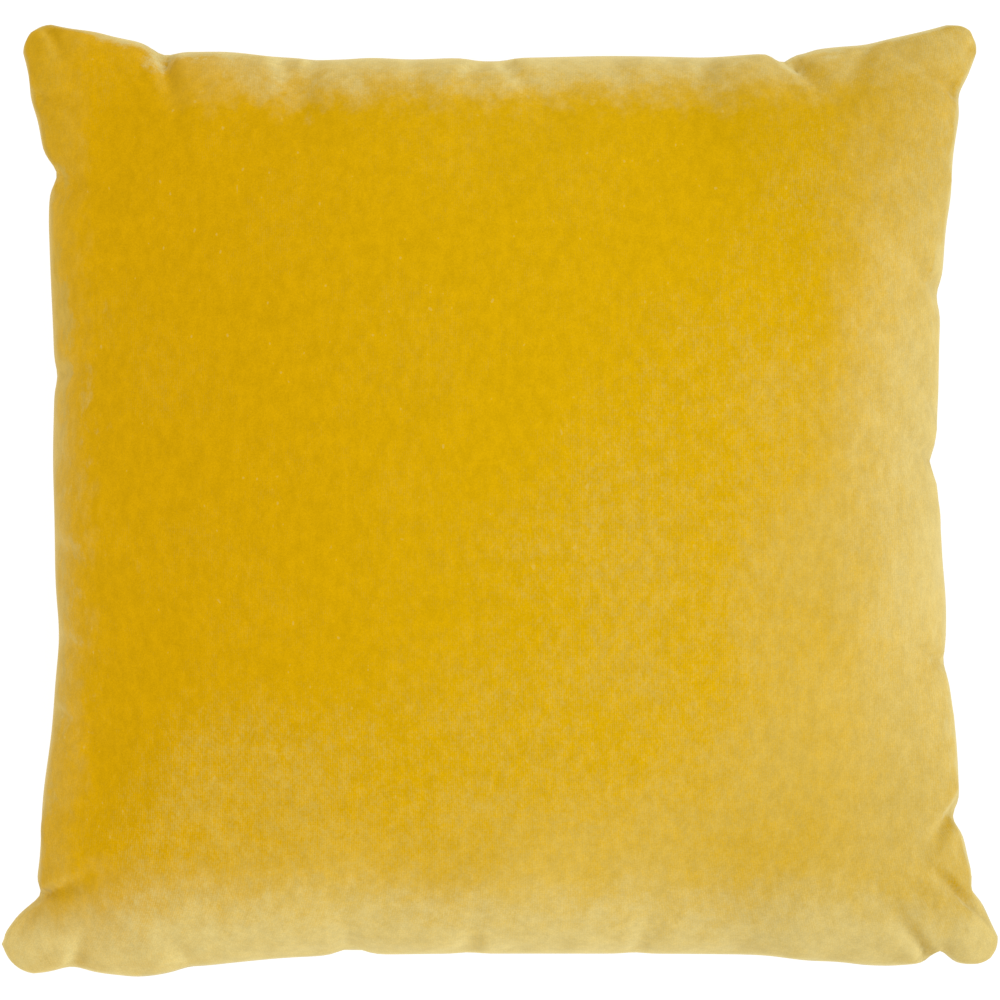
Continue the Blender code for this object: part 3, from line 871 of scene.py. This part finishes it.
def velvet_finish():
    """Golden cotton velvet: a short pile over fine ribs, paler to the right and at the zip by its
    brushing and by painted sheen and light, with painted sheen at its edges and painted shade by its
    tilt.
    """
    made = Finish(
        "velvet",
        1.0,
        Sheen_Weight=0.45,
        Sheen_Roughness=0.34,
        Sheen_Tint=rgb(1.0, 0.93, 0.60),
        Specular_IOR_Level=0.0,
    )
    place = made.object_place()
    tall = made.stretched(place, (1.0, 0.6, 1.0))
    x, y, _ = made.parts(place)
    # painted shade by tilt, read from the panel's attribute
    tilt_shade = made.add("Attribute", (), attribute_name="tilt_shade").outputs["Fac"]
    fine = pile_grain(made, tall)
    # brushing and painted sheen and light, paler towards the lower right
    broad = brushing_and_painted_sheen(made, x, y)
    patches = made.ramp(made.noise(place, 15.0, 3.0, 0.5), 0.30, 0.72, -0.24, 0.22)
    brushed_and_lit = made.plus(broad, made.times(patches, made.ramp(broad, 0.0, 0.4, 0.35, 1.0)))
    shown = made.times(made.ramp(broad, 0.0, 0.16, 0.28, 1.0), made.ramp(broad, 0.2, 1.0, 1.0, 0.6))
    brushed_and_lit = made.plus(brushed_and_lit, made.times(fine, shown))
    # painted shade by tilt makes pile tilted towards the light paler
    brushed_and_lit = made.plus(brushed_and_lit, made.times(tilt_shade, 1.1))
    brushed_and_lit = made.math("SUBTRACT", brushed_and_lit, 0.03, clamp=True)
    deep = made.mix(made.ramp(x, -0.18, 0.04), GOLD_LEFT, GOLD_RIGHT)
    # paler gold where the pile is brushed and where sheen and light are painted on
    colour = made.mix(brushed_and_lit, deep, GOLD_BRUSHED_AND_LIT)
    # painted sheen at slopes and along the edges
    edge_sheen = painted_edge_sheen(made, x, y, tall)
    grain_and_tilt_shade = made.plus(made.times(tilt_shade, 0.7), made.times(fine, 0.22))
    grain_and_tilt_shade = made.times(grain_and_tilt_shade, made.ramp(edge_sheen, 0.0, 0.4))
    edge_sheen = made.math("ADD", edge_sheen, grain_and_tilt_shade, clamp=True)
    # the left edge takes the darker tan, painted shade on the side away from the light
    not_left = made.most(made.ramp(x, -0.206, -0.165), made.ramp(y, -0.175, -0.205))
    shaded_sheen = made.mix(made.ramp(y, 0.0, 0.10), SHADED_SHEEN_LOW, SHADED_SHEEN_HIGH)
    colour = made.mix(edge_sheen, colour, made.mix(not_left, shaded_sheen, LIT_SHEEN_GOLD))
    colour = made.mix(1.0, colour, pile_tone(made, x, y, place, tall, tilt_shade), "MULTIPLY")
    colour = made.mix(pile_lint(made, place, tall), colour, LINT)
    normal = made.bump(made.noise(place, 900.0, 3.0, 0.6), 0.20 * MM, 0.35)
    normal = made.bump(made.noise(place, 70.0, 3.0, 0.5), 0.8 * MM, 0.25, normal)
    return made.finish(colour, normal)


def woven_finish(name, colour, pitch, shade=0.10, roughness=0.8, sheen=0.15):
    """Plain woven cloth whose threads are pitch apart, on the flat cloth's own place."""
    made = Finish(name, roughness, Sheen_Weight=sheen)
    place = made.cloth_place()
    x, y, _ = made.parts(place)
    weave = made.times(made.wave(x, pitch), made.wave(y, pitch))
    uneven = made.noise(made.object_place(), 120.0, 4.0, 0.6)
    tone = made.plus(made.times(weave, shade / 2), made.times(uneven, shade))
    dark = rgb(*(part * (1 - shade) for part in colour))
    mixed = made.mix(made.ramp(tone, 0.0, shade), dark, rgb(*colour))
    normal = made.bump(weave, pitch / 6, 0.5)
    return made.finish(mixed, normal)


def solid_woven_finish(name, colour, pitch, shade=0.14):
    """Woven tape or twisted thread, for pieces that have no flat cloth of their own."""
    made = Finish(name, 0.75, Sheen_Weight=0.12)
    place = made.object_place()
    x, y, z = made.parts(place)
    weave = made.times(made.wave(x, pitch), made.wave(made.plus(y, z), pitch))
    uneven = made.noise(place, 400.0, 3.0, 0.6)
    share = made.ramp(made.plus(weave, uneven), -0.6, 1.6)
    dark = rgb(*(part * (1 - shade) for part in colour))
    return made.finish(made.mix(share, dark, rgb(*colour)), made.bump(weave, pitch / 8, 0.5))


def nylon_finish():
    made = Finish("zip_nylon", 0.38, Coat_Weight=0.1)
    uneven = made.noise(made.object_place(), 900.0, 3.0, 0.5)
    colour = made.mix(made.ramp(uneven, 0.3, 0.7), rgb(0.50, 0.27, 0.03), rgb(0.60, 0.34, 0.05))
    return made.finish(colour, made.bump(uneven, 0.03 * MM, 0.3))


def metal_finish():
    """Plated zinc, brighter in cloudy patches, and finely scratched."""
    made = Finish("zip_metal", 0.3, Metallic=1.0)
    place = made.object_place()
    cloudy = made.noise(place, 500.0, 4.0, 0.6)
    scratches = made.noise(made.stretched(place, (400.0, 6000.0, 6000.0)), 1.0)
    colour = made.mix(made.ramp(cloudy, 0.35, 0.7), rgb(0.70, 0.60, 0.40), rgb(0.80, 0.72, 0.55))
    rough = made.ramp(scratches, 0.3, 0.7, 0.24, 0.42)
    return made.finish(colour, made.bump(scratches, 0.01 * MM, 0.4), rough)


def fibre_finish():
    """Loose white hollowfibre: tangled strands over soft lumps."""
    made = Finish("hollowfibre", 0.9, Sheen_Weight=0.4)
    place = made.object_place()
    strands = made.noise(place, 700.0, 6.0, 0.75)
    lumps = made.noise(place, 55.0, 4.0, 0.6)
    shade = made.times(strands, lumps)
    colour = made.mix(made.ramp(shade, 0.12, 0.4), rgb(0.80, 0.80, 0.79), rgb(0.93, 0.93, 0.92))
    normal = made.bump(strands, 0.6 * MM, 0.8)
    return made.finish(colour, made.bump(lumps, 4 * MM, 0.6, normal))


def floor_finish():
    made = Finish("studio_floor", 0.9)
    cloudy = made.noise(made.object_place(), 3.0, 3.0, 0.5)
    made.surface.inputs["Emission Color"].default_value = rgb(1.0, 1.0, 1.0)
    made.surface.inputs["Emission Strength"].default_value = FLOOR_GLOW
    colour = made.mix(cloudy, rgb(0.21, 0.21, 0.21), rgb(0.23, 0.23, 0.23))
    return made.finish(colour)


# -------- threads and zip


def tube(name, paths, radius, finish):
    """Round yarn along one or more paths, as a mesh."""
    curve = bpy.data.curves.new(name, "CURVE")
    curve.dimensions = "3D"
    curve.bevel_depth = radius
    curve.bevel_resolution = 1
    curve.use_fill_caps = True
    for path in paths:
        spline = curve.splines.new("POLY")
        spline.points.add(len(path) - 1)
        for place, point in zip(spline.points, path):
            place.co = (*point, 1)
    drawn = linked(name, curve)
    evaluated = drawn.evaluated_get(bpy.context.evaluated_depsgraph_get())
    mesh = bpy.data.meshes.new_from_object(evaluated)
    bpy.data.objects.remove(drawn)
    mesh.name = name
    mesh.shade_smooth()
    return linked(name, mesh, finish)


def seam_line(lines, inset, start):
    """Points round the three sewn edges and both ends of the zipped one, beyond start."""
    ends = [line for line in lines if line >= start]
    path = [(-share, -1) for share in ends]
    path += [(-1, share) for share in lines[1:]]
    path += [(share, 1) for share in lines[1:]]
    path += [(1, -share) for share in lines[1:]]
    path += [(share, -1) for share in reversed(ends[:-1])]
    return [Vector((*outline(u, v, inset), SEAM_Z)) for u, v in path]


def evenly(points, step):
    """Points a step apart along a line, with the line's direction at each."""
    made = []
    left = 0.0
    for start, end in zip(points, points[1:]):
        span = (end - start).length
        while span and left <= span:
            made.append((start.lerp(end, left / span), (end - start) / span))
            left += step
        left -= span
    return made


def overlock(points, pitch, half_width, half_height):
    """One yarn wound round two raw edges, from side to side and over and under them."""
    path = []
    for at, (place, along) in enumerate(evenly(points, pitch / OVERLOCK_POINTS)):
        turn = 2 * math.pi * at / OVERLOCK_POINTS
        across = along.cross(Vector((0, 0, 1))) * half_width * math.cos(turn)
        path.append(place + across + Vector((0, 0, half_height * math.sin(turn))))
    return path


def stitches(points, pitch, length, sag, slant=Vector((0, 0, 0))):
    """Short stitches in a row along a line, each dipping into the cloth at both ends."""
    made = []
    for place, along in evenly(points, pitch):
        path = []
        for step in range(STITCH_POINTS):
            share = 2 * step / (STITCH_POINTS - 1) - 1
            path.append(place + along * length * share / 2 + slant * share + sag * (1 - share * share))
        made.append(path)
    return made


def coil(node, side, shift):
    """One row of a coil zip: a flattened helix through its CAD box, its heads in the other row's."""
    low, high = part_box(node)
    middle, half = (low + high) / 2, (high - low) / 2
    turns = int((high.x - low.x - 2 * COIL_WIRE) / COIL_PITCH - shift)
    points = []
    for at in range(turns * COIL_POINTS + 1):
        turn = 2 * math.pi * at / COIL_POINTS
        x = low.x + COIL_WIRE + COIL_PITCH * (at / COIL_POINTS + shift)
        y = middle.y + (half.y - COIL_WIRE) * math.sin(turn)
        meshed = COIL_MESH * (1 - smooth(abs(x), *COIL_PARTED))
        z = middle.z - side * (half.z - COIL_WIRE) * math.cos(turn)
        z -= side * meshed * (0.5 + 0.5 * math.cos(turn)) ** 2
        points.append((x, y, z))
    return points


def build_zip(nylon, thread, tape, metal):
    for side, name in ((1, "front"), (-1, "back")):
        node = f"zip_coil_{name}"
        row = tube(f"coil_{name}", [coil(node, side, 0.0 if side > 0 else 0.5)], COIL_WIRE, nylon)
        stands_for(row, node)
        node = f"zip_tape_stitch_{name}"
        low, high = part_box(node)
        inner_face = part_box(f"zip_tape_{name}")[0].y + TAPE_CLOTH
        ends = [Vector((x, inner_face + TAPE_ROW, (low.z + high.z) / 2)) for x in (low.x, high.x)]
        paths = stitches(ends, *TAPE_STITCH, TAPE_SAG)
        sewn = tube(f"tape_stitches_{name}", paths, TAPE_YARN, thread)
        stands_for(sewn, node)
    finishes = {"zip_tape": tape, "zip_top_stop": metal, "zip_bottom_stop": metal}
    finishes |= {"zip_slider": metal, "zip_pull": metal}
    for name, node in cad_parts.items():
        for start, finish in finishes.items():
            if name.startswith(start) and "stitch" not in name:
                node.data.materials.clear()
                node.data.materials.append(finish)


# -------- the pillow


def cover_shapes(lines):
    """Both panels after filling, on the simulation's grid."""
    starts = [start_shape(lines, side) for side in (1, -1)]
    filled = simulate(lines, *starts)
    made = []
    for side, start, moved in zip((1, -1), starts, filled):
        grid = capped(start, moved)
        made.append(to_height(grid, side, CROWN if side > 0 else BELLY))
    return made


def build_cover(shapes, lines, velvet, thread):
    """The two velvet panels. Returns their grids, front first."""
    grids = []
    for side, name, shape in ((1, "front", shapes[0]), (-1, "back", shapes[1])):
        plain = finer(shape)
        grid = uneven(plain, lines, side)
        grid = folded(grid, lines, side, 1.0 if side > 0 else BACK_FOLDS)
        # painted shade: tilted cloth is painted paler towards the light's side and darker away from it
        tilt_shade = painted_tilt_shade(grid, plain, side)
        for row, column in rim(len(lines) - 1):
            u, v = lines[column], lines[row]
            x, y = outline(u, v)
            grid[row, column] = x, y, SEAM_Z + side * lip_rise(edge_of(u, v), x)
        rings = cover_rings(lines, grid, side)
        if side < 0:
            grid[..., 2] = on_floor(grid[..., 2], FLOOR_GAP)
        mesh = cloth_mesh(f"velvet_{name}", grid, lines, rings, FLAT_SIDE, ALLOWANCE, side < 0)
        add_tilt_shade(mesh, tilt_shade)
        panel = linked(f"velvet_{name}", mesh, velvet)
        thicken(panel, VELVET)
        stands_for(panel, f"cover_{name}_panel")
        grids.append(grid)
    edge = seam_line(lines, LIP + ALLOWANCE - COVER_OVERLOCK_IN, OVERLOCK_START)
    yarn = tube("cover_overlock", [overlock(edge, *COVER_OVERLOCK)], COVER_YARN, thread)
    stands_for(yarn, "cover_seam_thread")
    return grids


def build_case(shapes, lines, cambric, thread):
    """The insert's two cambric panels and its seams. Returns the panels' grids and their lines."""
    case_lines = grid_lines(CASE_STEPS)
    grids = []
    for side, name, shape in ((1, "front", shapes[0]), (-1, "back", shapes[1])):
        grid = inner_layer(shape, lines, case_lines, side, CASE_INSET, CASE_ROOM)
        for row, column in rim(CASE_STEPS):
            grid[row, column, 2] = SEAM_Z + side * (CASE_LIP + LIP_GAP)
        rings = case_rings(case_lines, side)
        mesh = cloth_mesh(f"case_{name}", grid, case_lines, rings, CASE_SIDE, CASE_ALLOWANCE, side < 0)
        panel = linked(f"case_{name}", mesh, cambric)
        thicken(panel, CASE_CLOTH)
        stands_for(panel, f"insert_case_{name}")
        grids.append(grid)
    half = CLOSING_HALF / EDGES["near"][0]
    raw_edge = CASE_INSET + CASE_LIP + CASE_ALLOWANCE
    edge = seam_line(case_lines, raw_edge - CASE_OVERLOCK_IN, half)
    yarn = tube("case_overlock", [overlock(edge, *CASE_OVERLOCK)], CASE_YARN, thread)
    stands_for(yarn, "insert_seam_thread")
    shares = np.linspace(-half, half, CLOSING_POINTS)
    closing = [Vector((*outline(share, -1, CASE_INSET), SEAM_Z)) for share in shares]
    paths = stitches(closing, *CLOSING_STITCH, CLOSING_SAG, CLOSING_SLANT)
    sewn = tube("closing_stitches", paths, CLOSING_YARN, thread)
    stands_for(sewn, "insert_closing_stitch")
    return grids, case_lines


def build_label(names, panel, patch, lift, tape):
    """A strip of woven tape that follows a panel, lift outside it, and its flat size."""
    name, node, slot = names
    grid, lines, side = panel
    (left, right), (low, high) = patch
    columns, rows = LABEL_STEPS
    u, v = np.meshgrid(np.linspace(left, right, columns + 1), np.linspace(low, high, rows + 1))
    points = sampled(grid + normals(grid, side) * lift, lines, u, v)
    wide = float(np.linalg.norm(points[0, -1] - points[0, 0]))
    tall = float(np.linalg.norm(points[-1, 0] - points[0, 0]))
    across, up = np.linspace(0, wide, columns + 1), np.linspace(0, tall, rows + 1)
    flat = [(x, y) for y in up for x in across]
    faces = quads(columns, rows, 0, side < 0)
    mesh = smooth_mesh(name, points.reshape(-1, 3).tolist(), faces, flat)
    label = linked(name, mesh, tape)
    thicken(label, LABEL)
    stands_for(label, node)
    return label, (wide, tall)


def build_filling(shapes, lines, fibre):
    """The hollowfibre, as one soft lumpy body."""
    own_lines = grid_lines(FILLING_STEPS)
    layers = []
    for side, shape in zip((1, -1), shapes):
        grid = inner_layer(shape, lines, own_lines, side, FILLING_INSET, FILLING_ROOM)
        u, v = np.meshgrid(own_lines, own_lines)
        soft = np.sqrt(np.clip((1 - u**8) * (1 - v**8), 0, 1)) * LUMP_DEPTH
        for row in range(FILLING_STEPS + 1):
            for column in range(FILLING_STEPS + 1):
                lump = noise.fractal(Vector(grid[row, column]) / LUMP_SIZE, 1.0, 2.0, 3)
                grid[row, column, 2] -= side * soft[row, column] * (0.5 + 0.5 * lump)
        layers.append(grid)
    for row, column in rim(FILLING_STEPS):
        layers[0][row, column, 2] = layers[1][row, column, 2] = SEAM_Z
    count = (FILLING_STEPS + 1) ** 2
    faces = quads(FILLING_STEPS, FILLING_STEPS, 0, False)
    faces += quads(FILLING_STEPS, FILLING_STEPS, count, True)
    mesh = bpy.data.meshes.new("filling")
    mesh.from_pydata(np.concatenate(layers).reshape(-1, 3).tolist(), [], faces)
    bm = bmesh.new()
    bm.from_mesh(mesh)
    bmesh.ops.remove_doubles(bm, verts=bm.verts, dist=0.01 * MM)
    bm.to_mesh(mesh)
    bm.free()
    mesh.shade_smooth()
    body = linked("filling", mesh, fibre)
    stands_for(body, "insert_filling")


def studio():
    floor_mesh = bpy.data.meshes.new("floor")
    corners = [(x * FLOOR_HALF, y * FLOOR_HALF, 0) for x, y in ((-1, -1), (1, -1), (1, 1), (-1, 1))]
    floor_mesh.from_pydata(corners, [], [(0, 1, 2, 3)])
    floor = linked("floor", floor_mesh, floor_finish())
    world = bpy.data.worlds.new("studio")
    bpy.context.scene.world = world
    world.use_nodes = True
    background = world.node_tree.nodes["Background"].inputs
    background["Color"].default_value = rgb(1.0, 1.0, 1.0)
    background["Strength"].default_value = SKY
    light = bpy.data.lights.new("key", "AREA")
    light.energy = KEY_POWER
    light.size = KEY_SIZE
    key = linked("key", light)
    key.location = KEY_PLACE
    key.rotation_euler = (-key.location).to_track_quat("-Z", "Y").to_euler()


def add_camera():
    camera = bpy.data.cameras.new("camera")
    camera.lens = camera.sensor_width * CAMERA_HEIGHT / FRAME_WIDE
    obj = linked("camera", camera)
    obj.location = (CAMERA_ASIDE, 0, SEAM_Z + CAMERA_HEIGHT)
    bpy.context.scene.camera = obj


def main():
    add_camera()
    studio()
    bpy.context.scene.view_settings.view_transform = "Standard"
    velvet = velvet_finish()
    gold_thread = solid_woven_finish("cover_thread", (0.60, 0.34, 0.03), 0.5 * MM)
    white_thread = solid_woven_finish("insert_thread", (0.86, 0.85, 0.82), 0.4 * MM)
    cambric = woven_finish("cambric", (0.84, 0.83, 0.80), 0.55 * MM)
    satin = woven_finish("label_tape", (0.80, 0.79, 0.75), 0.35 * MM, 0.06, 0.45, 0.3)
    tape = solid_woven_finish("zip_tape", (0.55, 0.30, 0.03), 0.8 * MM)

    coarse = grid_lines(SIM_STEPS)
    shapes = cover_shapes(coarse)
    fine = halved(coarse)
    panels = build_cover(shapes, fine, velvet, gold_thread)
    case, case_lines = build_case(shapes, coarse, cambric, white_thread)
    build_filling(shapes, coarse, fibre_finish())
    names = ("care_label", "cover_care_label", "care_label")
    inside = -VELVET - LABEL_ROOM
    care, size = build_label(names, (panels[1], fine, -1), CARE_LABEL, inside, satin)
    names = ("case_label", "insert_label", "insert_label_tape")
    label, size = build_label(names, (case[0], case_lines, 1), CASE_LABEL, LABEL_ROOM, satin)
    build_zip(nylon_finish(), gold_thread, tape, metal_finish())


main()
